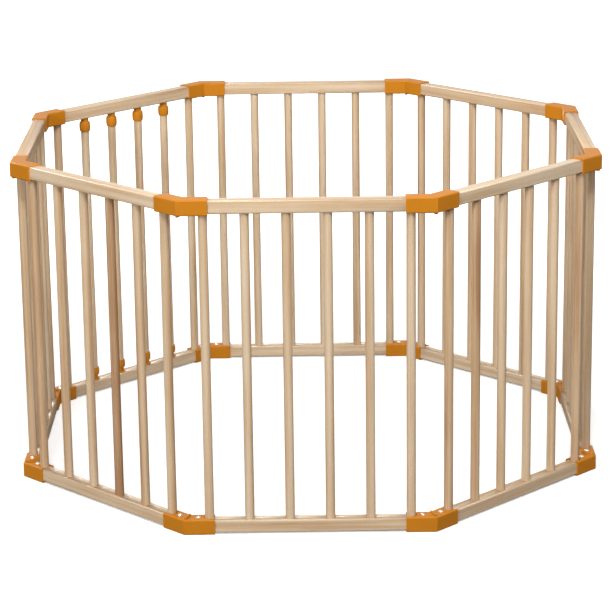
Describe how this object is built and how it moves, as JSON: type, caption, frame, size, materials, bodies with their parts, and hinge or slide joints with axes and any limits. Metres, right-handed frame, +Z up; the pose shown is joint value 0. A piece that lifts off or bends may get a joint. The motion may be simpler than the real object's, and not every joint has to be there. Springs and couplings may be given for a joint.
{
  "type": "playpen",
  "caption": "Octagonal free-standing wooden playpen: barred panels joined by moulded corner connectors, with sprung slip bars in one panel that lift out as a doorway.",
  "frame": {"origin": "middle of the pen on the floor, at the bottom centre of its box", "axes": "+Z up; panel 1 faces -Y, the panel with the slip bars faces -X and +Y; panels count anticlockwise from above"},
  "size_m": [1.153, 1.153, 0.649],
  "materials": {
    "beech": "clear satin varnish",
    "orange_plastic": "moulded, satin",
    "screw_steel": "zinc plated",
    "spring_steel": "drawn wire"
  },
  "bodies": {
    "frame": {"top_rail_1": "beech", "top_rail_2": "beech", "top_rail_3": "beech", "top_rail_4": "beech", "top_rail_5": "beech", "top_rail_6": "beech", "top_rail_7": "beech", "top_rail_8": "beech", "bottom_rail_1": "beech", "bottom_rail_2": "beech", "bottom_rail_3": "beech", "bottom_rail_4": "beech", "bottom_rail_5": "beech", "bottom_rail_6": "beech", "bottom_rail_7": "beech", "bottom_rail_8": "beech", "bars_1": "beech", "bars_2": "beech", "bars_3": "beech", "bars_4": "beech", "bars_5": "beech", "bars_6": "beech", "bars_7": "beech", "bars_8": "beech", "top_connector_1": "orange_plastic", "top_connector_2": "orange_plastic", "top_connector_3": "orange_plastic", "top_connector_4": "orange_plastic", "top_connector_5": "orange_plastic", "top_connector_6": "orange_plastic", "top_connector_7": "orange_plastic", "top_connector_8": "orange_plastic", "bottom_connector_1": "orange_plastic", "bottom_connector_2": "orange_plastic", "bottom_connector_3": "orange_plastic", "bottom_connector_4": "orange_plastic", "bottom_connector_5": "orange_plastic", "bottom_connector_6": "orange_plastic", "bottom_connector_7": "orange_plastic", "bottom_connector_8": "orange_plastic", "slip_bar_sockets": "orange_plastic", "top_screws": "screw_steel", "bottom_screws": "screw_steel", "slip_bar_spring_1": "spring_steel", "slip_bar_spring_2": "spring_steel", "slip_bar_spring_3": "spring_steel", "slip_bar_spring_4": "spring_steel"},
    "slip_bar_1": {"slip_bar_1": "beech", "slip_bar_top_cap_1": "orange_plastic", "slip_bar_bottom_cap_1": "orange_plastic"},
    "slip_bar_2": {"slip_bar_2": "beech", "slip_bar_top_cap_2": "orange_plastic", "slip_bar_bottom_cap_2": "orange_plastic"},
    "slip_bar_3": {"slip_bar_3": "beech", "slip_bar_top_cap_3": "orange_plastic", "slip_bar_bottom_cap_3": "orange_plastic"},
    "slip_bar_4": {"slip_bar_4": "beech", "slip_bar_top_cap_4": "orange_plastic", "slip_bar_bottom_cap_4": "orange_plastic"}
  },
  "joints": [
    {"name": "slip_bar_1_lift", "type": "slide", "parent": "frame", "child": "slip_bar_1", "axis": [0, 0, 1], "range_m": [0, 0.008], "stiffness_N_per_m": 300, "springref_m": -0.02, "deforming": ["slip_bar_spring_1"]},
    {"name": "slip_bar_2_lift", "type": "slide", "parent": "frame", "child": "slip_bar_2", "axis": [0, 0, 1], "range_m": [0, 0.008], "stiffness_N_per_m": 300, "springref_m": -0.02, "deforming": ["slip_bar_spring_2"]},
    {"name": "slip_bar_3_lift", "type": "slide", "parent": "frame", "child": "slip_bar_3", "axis": [0, 0, 1], "range_m": [0, 0.008], "stiffness_N_per_m": 300, "springref_m": -0.02, "deforming": ["slip_bar_spring_3"]},
    {"name": "slip_bar_4_lift", "type": "slide", "parent": "frame", "child": "slip_bar_4", "axis": [0, 0, 1], "range_m": [0, 0.008], "stiffness_N_per_m": 300, "springref_m": -0.02, "deforming": ["slip_bar_spring_4"]}
  ]
}
